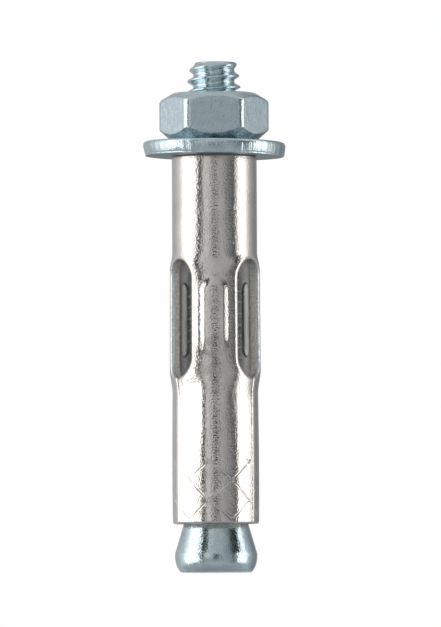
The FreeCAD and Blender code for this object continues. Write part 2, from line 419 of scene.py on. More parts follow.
def make_washer(materials):
    """Punched washer: rolled-over upper rim, sheared wall with upright streaks, sharper lower rim."""
    angle = np.arange(WASHER_COLUMNS)[:, None] * FULL_TURN / WASHER_COLUMNS
    profile = washer_profile()
    radius, height = (np.tile(values, (WASHER_COLUMNS, 1)) for values in profile.T)
    fine = 0.011 * ring_noise(angle, 11, range(90, 420, 7), 0.3)
    coarse = 0.018 * ring_noise(angle, 12, range(5, 60, 3), 0.4)
    patch = 0.55 + 0.45 * ring_noise(angle, 13, (3, 5, 7, 11))
    rim = smoothstep(WASHER_RADIUS - 0.25, WASHER_RADIUS - 0.02, radius)
    upright = 1.0 - 0.6 * smoothstep(WASHER_TOP - 0.7, WASHER_TOP - 0.3, height)
    wave = fine * np.clip(patch, 0.1, 1.0) + coarse
    radius += wave * rim * upright - 0.022 * rim
    # Punching has pulled the lower rim in, most of all at -X
    drawn = 0.14 + 0.13 * np.clip(-np.cos(angle), 0.0, 1.0) ** 2
    radius -= drawn * rim * (1.0 - smoothstep(WASHER_BOTTOM + 0.1, WASHER_BOTTOM + 0.85, height)) ** 2
    # The sheared lower edge wanders a little
    lower_edge = rim * (1.0 - smoothstep(WASHER_BOTTOM + 0.1, WASHER_BOTTOM + 0.5, height))
    height += lower_edge * 0.03 * (1.0 + ring_noise(angle, 14, range(4, 50, 3)))
    # The rim is bent a little: up at -X, down at +X
    height -= 0.0133 * radius * np.cos(angle) * smoothstep(4.9, 7.4, radius)
    points = np.stack([radius * np.cos(angle), radius * np.sin(angle), height], axis=-1)
    # The underside inside the rim takes the second, dark zinc: painted shade under the washer.
    shaded_underside = (profile[:, 1] < WASHER_BOTTOM + 0.01) & (profile[:, 0] < WASHER_FACE_RADIUS)
    make_object(
        "punched_washer", points.reshape(-1, 3), closed_grid(points), "sleeve_stack",
        materials, "washer", np.tile(shaded_underside, WASHER_COLUMNS).astype(np.int32),
    )


def hexagon_radius(angle):
    """Distance from the axis to the nut's wall, with rounded corners; a flat faces -Y."""
    sector = math.radians(60.0)
    local = np.mod(angle + math.radians(90.0) + sector / 2, sector) - sector / 2
    flat = NUT_FLAT / np.cos(local)
    centre = (NUT_FLAT - NUT_CORNER) / math.cos(sector / 2)
    off_corner = sector / 2 - np.abs(local)
    inside = np.clip(NUT_CORNER ** 2 - (centre * np.sin(off_corner)) ** 2, 0.0, None)
    rounded = centre * np.cos(off_corner) + np.sqrt(inside)
    return np.where(np.abs(local) > math.radians(NUT_FLAT_ANGLE), rounded, flat)


def nut_section(wall):
    """Outer (radius, height) points of the nut where its wall is this far out, from below."""
    low_turn = NUT_BOTTOM + (wall - NUT_LOWER_FACE) * math.tan(math.radians(NUT_LOWER_BEVEL))
    high_turn = NUT_TOP - (wall - NUT_UPPER_FACE) * math.tan(math.radians(NUT_UPPER_BEVEL))
    corners = [
        (NUT_FACE_MIDDLE, NUT_BOTTOM), (NUT_LOWER_FACE, NUT_BOTTOM), (wall, low_turn),
        (wall, high_turn), (NUT_UPPER_FACE, NUT_TOP), (NUT_FACE_MIDDLE, NUT_TOP),
    ]
    outer = fillet(corners, NUT_ROUNDING, steps=5)
    low, high = outer[10][1], outer[11][1]
    return outer[:11] + [(wall, low + (high - low) * k / 6.0) for k in range(1, 6)] + outer[11:]


def make_nut(materials):
    """Hexagon nut: bevelled and rounded at both ends, with its thread cut inside."""
    flat_part = np.linspace(-NUT_FLAT_ANGLE, NUT_FLAT_ANGLE, FLAT_COLUMNS + 1)[:-1]
    corner_part = np.linspace(NUT_FLAT_ANGLE, 60.0 - NUT_FLAT_ANGLE, CORNER_COLUMNS + 1)[:-1]
    side = np.concatenate([flat_part, corner_part])
    angles = np.radians(np.concatenate([side - 90.0 + 60.0 * k for k in range(6)]))
    heights = np.linspace(NUT_BOTTOM, NUT_TOP, BORE_ROWS)
    mouth = np.maximum(NUT_MOUTH - (heights - NUT_BOTTOM), NUT_MOUTH - (NUT_TOP - heights))
    columns = []
    for angle, wall in zip(angles, hexagon_radius(angles)):
        offset = heights - CREST_HEIGHT_AT_X - PITCH * angle / FULL_TURN
        grooves = CREST_RADIUS + BORE_CLEARANCE - thread_depth(offset)
        bore = -smooth_min(-grooves, -mouth, 0.06)
        section = nut_section(wall) + list(zip(bore[::-1], heights[::-1]))
        columns.append([(r * math.cos(angle), r * math.sin(angle), z) for r, z in section])
    points = np.array(columns)
    # The six flats, in rows 9 to 16, are duller than the corners. The rows below them are the lower
    # bevel and underside, which get painted shade: a darker, mottled zinc.
    column, row = np.indices(points.shape[:2])
    flat = (column % (FLAT_COLUMNS + CORNER_COLUMNS) < FLAT_COLUMNS) & (row >= 9) & (row <= 16)
    kinds = np.where(flat, 1, np.where(row < 8, 2, 0)).ravel()
    make_object(
        "hexagon_nut", points.reshape(-1, 3), closed_grid(points), "nut",
        materials, "hex_nut", kinds.astype(np.int32),
    )


# The sheet of the sleeve is worked out flat, as (distance round the tube, height), then rolled up.
# A row of its outline has the place, the direction into the sheet and the width of the roll.

def edge_line(start, end, inward, roll):
    """Rows of the outline along a straight edge."""
    count = max(1, math.ceil(math.dist(start, end) / LINE_STEP))
    start, end = np.array(start), np.array(end)
    return np.array([(*(start + (end - start) * t), *inward, roll) for t in np.linspace(0.0, 1.0, count + 1)])


def edge_arc(centre, radius, first, last, into, rolls=(ROLL_WINDOW, ROLL_WINDOW)):
    """Rows along an arc between two angles; into is 1 if the sheet lies outside the circle, else -1."""
    count = max(6, math.ceil(math.radians(abs(last - first)) * radius / ARC_STEP))
    t = np.linspace(0.0, 1.0, count + 1)
    angle = np.radians(first + (last - first) * t)
    unit = np.stack([np.cos(angle), np.sin(angle)], axis=-1)
    roll = rolls[0] + (rolls[1] - rolls[0]) * smoothstep(0.0, 1.0, t)
    return np.column_stack([centre + radius * unit, into * unit, roll])


def corner_reach(across):
    """Rise and angle of the rounded corner whose middle lies this far beside the window's."""
    rise = math.sqrt((WINDOW_RADIUS + CORNER_WINDOW) ** 2 - across ** 2)
    return rise, math.degrees(math.atan2(rise, across))


def window_side(window, slit, roll):
    """Rows up the left side of a slit and of the window above it, from the bottom edge."""
    edge = slit - SLIT_HALF
    side = window - WINDOW_RADIUS
    bend = SLEEVE_BOTTOM + CORNER_BOTTOM
    rise, beta = corner_reach(window - edge + CORNER_WINDOW)
    return np.concatenate([
        edge_arc((edge - CORNER_BOTTOM, bend), CORNER_BOTTOM, -90, 0, -1, (ROLL_BOTTOM, roll)),
        edge_line((edge, bend), (edge, ARC_LOW - rise), (-1, 0), roll),
        edge_arc(
            (edge - CORNER_WINDOW, ARC_LOW - rise), CORNER_WINDOW, 0, beta, -1, (roll, ROLL_WINDOW),
        ),
        edge_arc((window, ARC_LOW), WINDOW_RADIUS, 180 + beta, 180, 1),
        edge_line((side, ARC_LOW), (side, ARC_HIGH), (-1, 0), ROLL_WINDOW),
    ])


def seam_side():
    """Rows on up from the window that the seam cuts in half: the left side of the seam, to the top."""
    edge = HALF_TURN - SLIT_HALF
    bend = SLEEVE_TOP - CORNER_TOP
    rise, beta = corner_reach(SLIT_HALF + CORNER_WINDOW)
    return np.concatenate([
        edge_arc((HALF_TURN, ARC_HIGH), WINDOW_RADIUS, 180, 180 - beta, 1),
        edge_arc(
            (edge - CORNER_WINDOW, ARC_HIGH + rise), CORNER_WINDOW, -beta, 0, -1,
            (ROLL_WINDOW, ROLL_SLIT),
        ),
        edge_line((edge, ARC_HIGH + rise), (edge, bend), (-1, 0), ROLL_SLIT),
        edge_arc((edge - CORNER_TOP, bend), CORNER_TOP, 0, 90, -1, (ROLL_SLIT, ROLL_TOP)),
    ])


def mirrored(rows):
    """The same rows on the other side of the sheet, run the other way."""
    return rows[::-1] * (-1.0, 1.0, -1.0, 1.0, 1.0)


def bottom_line(from_slit, to_slit):
    reach = SLIT_HALF + CORNER_BOTTOM
    start, end = (from_slit + reach, SLEEVE_BOTTOM), (to_slit - reach, SLEEVE_BOTTOM)
    return edge_line(start, end, (0, 1), ROLL_BOTTOM)


def sheet_outline():
    """The sheet's edge, anticlockwise from the bottom left: places, inward directions and rolls."""
    seam = np.concatenate([window_side(HALF_TURN, HALF_TURN, ROLL_SLIT), seam_side()])
    top_reach = HALF_TURN - SLIT_HALF - CORNER_TOP
    rows = np.concatenate([
        bottom_line(-HALF_TURN, LEFT_SLIT),
        window_side(LEFT_WINDOW, LEFT_SLIT, ROLL_SLIT),
        edge_arc((LEFT_WINDOW, ARC_HIGH), WINDOW_RADIUS, 180, 0, 1),
        mirrored(window_side(-LEFT_WINDOW, -LEFT_SLIT, ROLL_FRONT_SLIT)),
        bottom_line(LEFT_SLIT, RIGHT_SLIT),
        window_side(RIGHT_WINDOW, RIGHT_SLIT, ROLL_FRONT_SLIT),
        edge_arc((RIGHT_WINDOW, ARC_HIGH), WINDOW_RADIUS, 180, 0, 1),
        mirrored(window_side(-RIGHT_WINDOW, -RIGHT_SLIT, ROLL_SLIT)),
        bottom_line(RIGHT_SLIT, HALF_TURN),
        seam,
        edge_line((top_reach, SLEEVE_TOP), (-top_reach, SLEEVE_TOP), (0, -1), ROLL_TOP),
        mirrored(seam),
    ])
    gap = np.linalg.norm((rows - np.roll(rows, 1, axis=0))[:, :2], axis=1)
    rows = rows[gap > SAME_PLACE]
    return rows[:, :2], rows[:, 2:4], rows[:, 4]


def edge_distance(s, z):
    """Distance inside the flat sheet from its outline."""
    distance = np.minimum(z - SLEEVE_BOTTOM, SLEEVE_TOP - z)
    above = np.maximum(np.maximum(z - ARC_HIGH, ARC_LOW - z), 0.0)
    for window, slit in OPENINGS:
        hole = np.hypot(s - window, above) - WINDOW_RADIUS
        gap = np.abs(s - slit) - SLIT_HALF
        if abs(window) < HALF_TURN:
            gap = np.where(z > WINDOW_MIDDLE, np.inf, gap)
        distance = np.minimum(distance, np.minimum(hole, gap))
    return distance


def strip_local(s):
    """Azimuth in radians from the middle of the nearest strip."""
    third = 2.0 * HALF_TURN / 3.0
    return (np.mod(s + third / 2, third) - third / 2) / TUBE_RADIUS


def strip_rise(s, z):
    """How far the sheet swells out of the round tube along the windows."""
    away = smoothstep(*np.radians((6.0, 33.0)), np.abs(strip_local(s)))
    sides = hump((20.0, 22.7), (33.8, 35.8), z)
    middle = hump((19.6, 23.9), (33.2, 34.9), z)
    neck = hump((33.0, 34.6), (34.8, 39.2), z)
    rise = (STRIP_SWELL + STRIP_LEAN * (28.3 - z)) * (away * sides + (1.0 - away) * middle)
    return rise - NECK * neck * (1.0 - away)


def leg_form(s, z):
    """Bow of the legs: flared a little, flatter beside the slits, and the front one bent at its left."""
    signed = strip_local(s)
    local = np.abs(signed)
    sides = smoothstep(*np.radians((14.0, 30.0)), local)
    rise = sides * np.interp(z, *LEG_SIDES) + (1.0 - sides) * np.interp(z, *LEG_MIDDLE)
    # From the strip's side the sheet first draws in, then turns out and runs flatter to the slit
    start, turn, end = np.radians((30.0, 42.0, 50.0))
    drawn = -DRAW_SLOPE * (turn - start) * smoothstep(start, turn, local)
    t = np.clip((local - turn) / (end - turn), 0.0, 1.0)
    flare = (end - turn) * (t ** 3 - t ** 4 / 2.0) + np.maximum(local - end, 0.0)
    slope = FLARE_SLOPE - 0.2 * smoothstep(-0.1, 0.1, signed)
    # Across the two near slits the neighbouring legs draw in instead
    beyond = np.where(s < 0.0, LEFT_SLIT - s, s - RIGHT_SLIT)
    pulled = NEIGHBOUR_DRAW * (1.0 - np.clip(beyond / 0.75, 0.0, 1.0)) ** 2
    flare = np.where((beyond > 0.0) & (beyond < 2.0), -pulled, slope * flare)
    rise += (drawn + flare) * (1.0 - smoothstep(18.5, 21.0, z))
    # The front leg is bent at 21 degrees to the left
    azimuth = s / TUBE_RADIUS
    bend = np.tanh(1.13 * (azimuth + math.radians(21.0)) / math.radians(7.0)) - 0.3
    front = hump((-1.02, -0.9), (0.6, 1.0), azimuth)
    return rise + FRONT_BEND * bend * front * (1.0 - smoothstep(20.3, 22.3, z))


def obround_place(s, z, width, length):
    """Where a point is from the middle line of a round-ended upright outline: across and along it."""
    across = strip_local(s + BEAD_OFFSET) * TUBE_RADIUS
    beyond = np.maximum(np.abs(z - WINDOW_MIDDLE) - (length - width) / 2.0, 0.0)
    return across, beyond


def obround_distance(s, z, width, length):
    """Distance inside a round-ended upright outline in the middle of the nearest strip."""
    return width / 2.0 - np.hypot(*obround_place(s, z, width, length))


def bead_height(s, z):
    """Pressed bead: evenly sloping sides, softer ends, low at its lower end, a faint lip at its left."""
    inside = obround_distance(s, z, *BEAD)
    across, beyond = obround_place(s, z, *BEAD)
    endward = beyond / (np.hypot(across, beyond) + 1e-6)
    t = inside / (0.6 + 0.25 * endward ** 2)
    side = 0.7 * np.clip(t, 0.0, 1.0) + 0.3 * smoothstep(0.0, 1.0, t)
    low = 0.55 * smoothstep(24.9, 26.4, z) + 0.45 * smoothstep(23.2, 24.2, z)
    lip = np.interp(inside, (-0.58, -0.47, -0.15, -0.07, 0.02, 0.2), (0.0, 0.008, 0.044, 0.044, 0.03, 0.0))
    lip = lip * (1.0 - smoothstep(-0.4, 0.2, across)) * (1.0 - endward)
    return BEAD_HEIGHT * side * low + lip * smoothstep(24.6, 26.0, z)


def score_lines():
    """Segments of the scored lattice: start, end and strength."""
    rng = np.random.default_rng(7)
    nodes = {}
    for row, height in enumerate(SCORE_ROWS):
        for k in range(-4, 5):
            s = TUBE_RADIUS * math.radians(SCORE_AZIMUTHS[row % 2] + SCORE_SPACING * k)
            nodes[row, k] = np.array((s, height)) + rng.uniform(-SCORE_WANDER, SCORE_WANDER, 2)
    segments = []
    for (row, k), a in nodes.items():
        for other in (k, k - 1 if row % 2 else k + 1):
            b = nodes.get((row + 1, other))
            if b is None or abs(b[0] - a[0]) > SCORE_LONGEST:
                continue
            overshoot = rng.uniform(0.3, 0.6) if row == 0 else 0.12
            start = a - (b - a) / np.linalg.norm(b - a) * overshoot
            segments.append((start, b, rng.uniform(0.6, 1.1)))
    return segments


SCORES = score_lines()


def clipped_scores():
    """The scored segments cut into runs of points that keep clear of the sheet's edges."""
    runs = []
    for a, b, _ in SCORES:
        count = max(2, int(np.linalg.norm(b - a) / 0.12))
        t = np.linspace(0.0, 1.0, count + 1)[:, None]
        line = a * (1.0 - t) + b * t
        keep = (edge_distance(*line.T) > 0.5) & (np.abs(line[:, 0]) < HALF_TURN)
        for inside, group in groupby(zip(line, keep), key=lambda pair: pair[1]):
            run = np.array([point for point, _ in group])
            if inside and len(run) > 2:
                runs.append(run)
    return runs


def score_height(s, z):
    """Depth of the scored lines, with the burr thrown up beside them."""
    total = np.zeros_like(s)
    near = (z < SCORE_TOP) & (z > SLEEVE_BOTTOM)
    s, z = s[near], z[near]
    depth = np.zeros_like(s)
    for a, b, strength in SCORES:
        length = np.linalg.norm(b - a)
        unit = (b - a) / length
        t = (s - a[0]) * unit[0] + (z - a[1]) * unit[1]
        nearest = np.clip(t, 0.0, length)
        off = np.hypot(s - a[0] - unit[0] * nearest, z - a[1] - unit[1] * nearest)
        sway = 0.75 + 0.25 * np.sin(t * 2.3 + a[0] * 5.0)
        groove = -SCORE_DEPTH * np.exp(-(off / SCORE_WIDTH) ** 2)
        groove += BURR_HEIGHT * np.exp(-((off - 0.15) / SCORE_WIDTH) ** 2)
        groove = groove * strength * sway
        depth = np.where(np.abs(groove) > np.abs(depth), groove, depth)
    total[near] = depth * smoothstep(0.28, 0.5, edge_distance(s, z))
    return total


def plain_radius(s, z):
    """Radius of the outer face without its beads and scored lines."""
    return TUBE_RADIUS + (strip_rise(s, z) + leg_form(s, z))


def outer_radius(s, z):
    return plain_radius(s, z) + bead_height(s, z) + score_height(s, z)


def inner_radius(s, z):
    pocket = POCKET_DEPTH * smoothstep(-0.05, 0.09, obround_distance(s, z, *POCKET))
    return plain_radius(s, z) - SHEET + pocket


def roll_up(s, z, radius):
    azimuth = s / TUBE_RADIUS
    return np.stack([radius * np.sin(azimuth), -radius * np.cos(azimuth), z], axis=-1)


def surface_normals(s, z, radius_of):
    """Outward normals of a rolled surface whose radius is a function of the flat place."""
    e = 0.004
    along = roll_up(s + e, z, radius_of(s + e, z)) - roll_up(s - e, z, radius_of(s - e, z))
    up = roll_up(s, z + e, radius_of(s, z + e)) - roll_up(s, z - e, radius_of(s, z - e))
    normal = np.cross(along, up)
    return normal / np.linalg.norm(normal, axis=1)[:, None]


def grid_points(edge_reach, step_s, step_z, taken, clear):
    """Staggered points that fill the flat sheet, away from its edge and from points taken."""
    tree = KDTree(len(taken))
    for index, point in enumerate(taken):
        tree.insert((point[0], point[1], 0.0), index)
    tree.balance()
    rows = int((SLEEVE_TOP - SLEEVE_BOTTOM) / step_z) + 1
    columns = int(2.0 * HALF_TURN / step_s)
    row, column = np.mgrid[0:rows, 0:columns].reshape(2, -1)
    shift = np.where(row % 2, 0.25, 0.75)
    s = -HALF_TURN + (column + shift) * 2.0 * HALF_TURN / columns
    z = SLEEVE_BOTTOM + (row + 0.5) * (SLEEVE_TOP - SLEEVE_BOTTOM) / rows
    inside = edge_distance(s, z) > edge_reach
    return [(a, b) for a, b in zip(s[inside], z[inside]) if tree.find((a, b, 0.0))[2] > clear]


def obround_loops(width, length, insets):
    """Closed loops round each strip's middle, at distances inside an obround."""
    straight = (length - width) / 2.0
    sides = max(2, int(2.0 * straight / LOOP_STEP))
    loops = []
    for azimuth in (-120.0, 0.0, 120.0):
        centre = TUBE_RADIUS * math.radians(azimuth) - BEAD_OFFSET
        for inset in insets:
            radius = width / 2.0 - inset
            count = max(8, int(math.pi * radius / LOOP_STEP))
            angle = math.pi * np.arange(count) / count
            fall = 2.0 * straight * np.arange(sides) / sides
            s = np.concatenate([radius * np.cos(angle), np.full(sides, -radius)])
            z = np.concatenate([straight + radius * np.sin(angle), straight - fall])
            half = np.column_stack([s, z])
            loops.append(np.concatenate([half, -half]) + (centre, WINDOW_MIDDLE))
    return loops


def triangulate(boundary, loops, lines, fill):
    """Triangles of the flat sheet inside its boundary that follow the given loops and lines.

    Returns the places, the triangles, and the number on the boundary of each place that is on it.
    """
    points = []
    edges = []
    for run, closed in [(boundary, 1)] + [(loop, 1) for loop in loops] + [(line, 0) for line in lines]:
        base, count = len(points), len(run)
        points += [Vector(p) for p in run]
        edges += [(base + k, base + (k + 1) % count) for k in range(count - 1 + closed)]
    points += [Vector(p) for p in fill]
    made, _, triangles, origins, _, _ = delaunay_2d_cdt(points, edges, [], 0, SAME_PLACE, True)
    on_boundary = {new: o for new, old in enumerate(origins) for o in old if o < len(boundary)}
    flat = np.array([(p.x, p.y) for p in made])
    middle = flat[np.array([tuple(t) for t in triangles])].mean(axis=1)
    inside = np.zeros(len(middle), dtype=bool)
    for a, b in zip(boundary, np.roll(boundary, -1, axis=0)):
        crosses = (a[1] > middle[:, 1]) != (b[1] > middle[:, 1])
        if crosses.any():
            along = a[0] + (middle[:, 1] - a[1]) / (b[1] - a[1]) * (b[0] - a[0])
            inside ^= crosses & (middle[:, 0] < along)
    return flat, [tuple(t) for t, keep in zip(triangles, inside) if keep], on_boundary


def outer_sheet(boundary):
    """Flat triangles of the outer face, along the beads and the scored lines."""
    loops = obround_loops(*BEAD, BEAD_LOOPS)
    lines = []
    for run in clipped_scores():
        direction = run[-1] - run[0]
        direction = direction / np.linalg.norm(direction)
        side = np.array([-direction[1], direction[0]])
        lines += [run + side * off for off in SCORE_SIDE_LINES]
    fill = grid_points(0.6, 0.34, 0.45, np.concatenate([boundary] + loops + lines), 0.16)
    return triangulate(boundary, loops, lines, fill)


def inner_sheet(boundary):
    """Flat triangles of the inner face, along the hollows behind the beads."""
    loops = obround_loops(*POCKET, POCKET_LOOPS)
    fill = grid_points(0.35, 0.55, 0.8, np.concatenate([boundary] + loops), 0.2)
    return triangulate(boundary, loops, [], fill)


def make_sleeve(materials):
    """Rolled sleeve: outer and inner faces of the sheet joined by its sheared edge.

    The materials are those of the sheet, of the torn and the smooth part of its sheared edge, of
    its inner face, painted darker as shade inside the tube, of the sides of the hollows, painted
    dark as shade in their corners, and of the floors of the hollows.
    """
    outline, inward, rolls = sheet_outline()
    count = len(outline)

    # Rows across the edge: inset into the sheet, depth below the outer face, and how much of the
    # normal is the face's and how much points out of the edge
    rows = []
    for k in range(ROLL_ROWS):
        t = math.radians(90.0) * k / (ROLL_ROWS - 1)
        inset, depth = rolls * (1.0 - math.sin(t)), rolls * ROLL_STEEPNESS * (1.0 - math.cos(t))
        rows.append((inset, depth, math.cos(t), ROLL_STEEPNESS * math.sin(t)))
    rows += [(np.full(count, inset), depth, 0.0, 1.0) for inset, depth in WALL_ROWS]
    rows.append((np.full(count, BACK_INSET), SHEET, -1.0, 0.0))

    azimuth = outline[:, 0] / TUBE_RADIUS
    tangent = np.stack([np.cos(azimuth), np.sin(azimuth), np.zeros(count)], axis=-1)
    out_of_edge = -(inward[:, 0:1] * tangent + inward[:, 1:2] * np.array([[0.0, 0.0, 1.0]]))
    points = []
    normals = []
    for inset, depth, of_face, of_edge in rows:
        s, z = (outline + inward * inset[:, None]).T
        points.extend(roll_up(s, z, plain_radius(s, z) - depth))
        normal = of_face * surface_normals(s, z, plain_radius) + of_edge * out_of_edge
        normals.extend(normal / np.linalg.norm(normal, axis=1)[:, None])

    # The roll shows the sheet's own face, and what is below it the cut. Along the windows the end of
    # the roll and the start of the cut are smooth.
    faces = []
    kinds = []
    for r in range(len(rows) - 1):
        a, b = r * count, (r + 1) * count
        kind = 0 if r < ROLL_ROWS - 1 else 1
        smooth = r in (ROLL_ROWS - 2, ROLL_ROWS - 1)
        for k in range(count):
            m = (k + 1) % count
            faces.append((a + k, b + k, b + m, a + m))
            kinds.append(2 if smooth and rolls[k] == ROLL_WINDOW else kind)

    # Inner faces: 3 the inner face, with painted shade; 4 the sides of the hollows, with darker painted
    # shade; 5 the hollows' floors, lighter.
    def inner_kind(middle):
        inside = obround_distance(*middle, *POCKET)
        return 4 if POCKET_LOOPS[0] < inside < POCKET_LOOPS[-1] else 5 if inside > 0.0 else 3

    def add_face(sheet, edge_start, radius_of, outward):
        flat, triangles, on_boundary = sheet
        free = [k for k in range(len(flat)) if k not in on_boundary]
        place = {k: len(points) + order for order, k in enumerate(free)}
        place.update((new, edge_start + old) for new, old in on_boundary.items())
        s, z = flat[free].T
        points.extend(roll_up(s, z, radius_of(s, z)))
        normals.extend(surface_normals(s, z, radius_of) * (1.0 if outward else -1.0))
        for triangle in triangles:
            corners = [place[k] for k in triangle]
            faces.append(corners if outward else corners[::-1])
            kinds.append(0 if outward else inner_kind(flat[list(triangle)].mean(axis=0)))

    outer_edge, inner_edge = (outline + inward * rows[k][0][:, None] for k in (0, -1))
    add_face(outer_sheet(outer_edge), 0, outer_radius, True)
    add_face(inner_sheet(inner_edge), (len(rows) - 1) * count, inner_radius, False)

    mesh = make_object(
        "rolled_sleeve", points, faces, "sleeve_stack", materials, "sleeve", kinds,
    )
    loop_vertices = np.empty(len(mesh.loops), dtype=np.int32)
    mesh.loops.foreach_get("vertex_index", loop_vertices)
    mesh.normals_split_custom_set(np.array(normals)[loop_vertices].tolist())
    mesh.update()


class Nodes:
    """Small helper that adds nodes to a material or world and links them."""

    def __init__(self, tree, output):
        self.tree = tree
        tree.nodes.clear()
        self.surface = self.add(output, {}).inputs["Surface"]

    def add(self, kind, inputs, **settings):
        """New node; inputs gives a value or another node's output by the socket's name or number."""
        node = self.tree.nodes.new(kind)
        for key, value in settings.items():
            setattr(node, key, value)
        for key, value in inputs.items():
            if isinstance(value, bpy.types.NodeSocket):
                self.link(value, node.inputs[key])
            else:
                node.inputs[key].default_value = value
        return node

    def link(self, source, target):
        self.tree.links.new(source, target)

    def math(self, operation, *values):
        return self.add("ShaderNodeMath", dict(enumerate(values)), operation=operation).outputs[0]

    def noise(self, vector, scale, detail=2.0, roughness=0.5):
        inputs = {"Vector": vector, "Scale": scale, "Detail": detail, "Roughness": roughness}
        return self.add("ShaderNodeTexNoise", inputs).outputs["Fac"]

    def stretched(self, vector, scale):
        return self.add("ShaderNodeMapping", {"Vector": vector, "Scale": scale}).outputs["Vector"]

    def range(self, value, low, high, to_low=0.0, to_high=1.0):
        inputs = {"Value": value, "From Min": low, "From Max": high, "To Min": to_low, "To Max": to_high}
        return self.add("ShaderNodeMapRange", inputs, clamp=True).outputs["Result"]

    def mix(self, factor, a, b):
        inputs = {"Factor": factor, "A": a, "B": b}
        return self.add("ShaderNodeMix", inputs, data_type="RGBA").outputs["Result"]

    def between(self, factor, dark, light):
        """Colour between two (red, green, blue) ones."""
        return self.mix(factor, (*dark, 1.0), (*light, 1.0))

    def choose(self, factor, first, second):
        """Put the second shader over the first one by a factor, on the output's surface."""
        mixer = self.add("ShaderNodeMixShader", {0: factor, 1: first.outputs[0], 2: second.outputs[0]})
        self.link(mixer.outputs["Shader"], self.surface)

    def metal(self, colour, roughness, normal):
        """Metal on the output's surface, with what other nodes give it."""
        inputs = {"Metallic": 1.0, "Base Color": colour, "Roughness": roughness, "Normal": normal}
        self.link(self.add("ShaderNodeBsdfPrincipled", inputs).outputs["BSDF"], self.surface)

    def bump(self, height, distance, normal=None):
        inputs = {"Height": height, "Distance": distance}
        if normal:
            inputs["Normal"] = normal
        return self.add("ShaderNodeBump", inputs).outputs["Normal"]


def new_material(name):
    material = bpy.data.materials.new(name)
    material.use_nodes = True
    return material, Nodes(material.node_tree, "ShaderNodeOutputMaterial")


def new_metal(name):
    """New material with the place on its object in millimetres, for noises."""
    material, nodes = new_material(name)
    place = nodes.add("ShaderNodeTexCoord", {}).outputs["Object"]
    return material, nodes, nodes.stretched(place, (1.0 / MM, 1.0 / MM, 1.0 / MM))


def zinc_material(name, dark, light, roughness, grain, specks):
    """Blue-passivated zinc: satin, with fine grain, soft mottling and small pits."""
    material, nodes, place = new_metal(name)
    colour = nodes.between(nodes.range(nodes.noise(place, 1.1, 4.0, 0.6), 0.32, 0.68), dark, light)
    speck = nodes.range(nodes.noise(place, 6.0), 0.62, 0.72, 0.0, specks)
    colour = nodes.mix(speck, colour, (0.16, 0.20, 0.23, 1.0))
    rough = nodes.range(nodes.noise(place, 2.2, 3.0, 0.6), 0.3, 0.7, *roughness)
    soft = nodes.bump(nodes.noise(place, 1.6), 0.00002 * grain)
    fine = nodes.bump(nodes.noise(place, 5.0, 2.0, 0.6), 0.00002 * grain, soft)
    nodes.metal(colour, rough, fine)
    return material


def sheet_material(name, dark, light, roughness):
    """Bright plated sheet: polished, with orange peel from rolling and faint drawn lines."""
    material, nodes, place = new_metal(name)
    colour = nodes.between(nodes.range(nodes.noise(place, 0.35, 3.0, 0.55), 0.35, 0.65), dark, light)
    rough = nodes.range(nodes.noise(place, 1.3, 3.0, 0.6), 0.3, 0.7, *roughness)
    wave = nodes.bump(nodes.noise(nodes.stretched(place, (1.0, 1.0, 0.45)), 0.45, 1.0), 0.00002)
    peel = nodes.bump(nodes.noise(place, 6.0, 1.0), 0.000026, wave)
    lines = nodes.bump(nodes.noise(nodes.stretched(place, (7.0, 7.0, 0.22)), 1.0), 0.000003, peel)
    nodes.metal(colour, rough, lines)
    return material


def cut_material(name, dark, light, roughness, grain, depth):
    """Sheared edge of the sheet: plated over tears and tool marks. In dark colours it also gives the sides of
    the hollows their painted shade.
    """
    material, nodes, place = new_metal(name)
    torn = nodes.noise(nodes.stretched(place, (grain, grain, 1.6 * grain)), 1.3, 4.0, 0.65)
    colour = nodes.between(nodes.range(torn, 0.35, 0.62), dark, light)
    nodes.metal(colour, nodes.range(torn, 0.3, 0.7, *roughness[::-1]), nodes.bump(torn, depth))
    return material


def zinc_materials():
    """Zinc of the stud, of the washer and its underside, and of the nut, its flats and lower end. The
    washer's underside and the nut's lower end are painted darker, as shade under them.
    """
    return [
        zinc_material("stud_zinc", (0.60, 0.70, 0.74), (0.71, 0.83, 0.875), (0.08, 0.13), 1.1, 0.5),
        zinc_material("washer_zinc", (0.62, 0.725, 0.765), (0.74, 0.865, 0.91), (0.15, 0.22), 1.4, 0.5),
        # Painted shade: the washer's underside, far darker than its wall.
        zinc_material("washer_underside_painted_shade", (0.20, 0.23, 0.25), (0.30, 0.34, 0.36), (0.35, 0.45), 2.0, 0.5),
        zinc_material("nut_zinc", (0.61, 0.715, 0.755), (0.72, 0.84, 0.89), (0.12, 0.18), 1.3, 0.5),
        zinc_material("nut_flat_zinc", (0.63, 0.735, 0.78), (0.71, 0.83, 0.88), (0.36, 0.43), 2.0, 0.6),
        # Painted shade: the nut's lower bevel and underside, darker and mottled.
        zinc_material("nut_lower_painted_shade_zinc", (0.24, 0.29, 0.31), (0.60, 0.70, 0.74), (0.18, 0.30), 2.0, 0.8),
    ]


def sleeve_materials():
    """Materials of the sleeve in the order that make_sleeve takes them."""
    return [
        sheet_material("bright_plated_sheet", (0.765, 0.71, 0.67), (0.855, 0.795, 0.75), (0.06, 0.095)),
        cut_material("torn_sheet_edge", (0.66, 0.60, 0.55), (0.94, 0.87, 0.80), (0.55, 0.7), 3.0, 0.00006),
        cut_material("smooth_sheet_edge", (0.58, 0.63, 0.66), (0.86, 0.89, 0.89), (0.12, 0.2), 4.0, 0.00014),
        # Inner face: the sheet painted darker, as the shade inside the tube.
        sheet_material("sheet_inside_painted_shade", (0.44, 0.42, 0.40), (0.60, 0.575, 0.55), (0.24, 0.34)),
        # Sides of the hollows: painted shade in the corners of the recesses.
        cut_material("hollow_sides_painted_shade", (0.20, 0.19, 0.18), (0.34, 0.32, 0.30), (0.35, 0.5), 3.0, 0.00003),
        sheet_material("hollow_floor", (0.62, 0.60, 0.57), (0.77, 0.74, 0.70), (0.12, 0.2)),
    ]


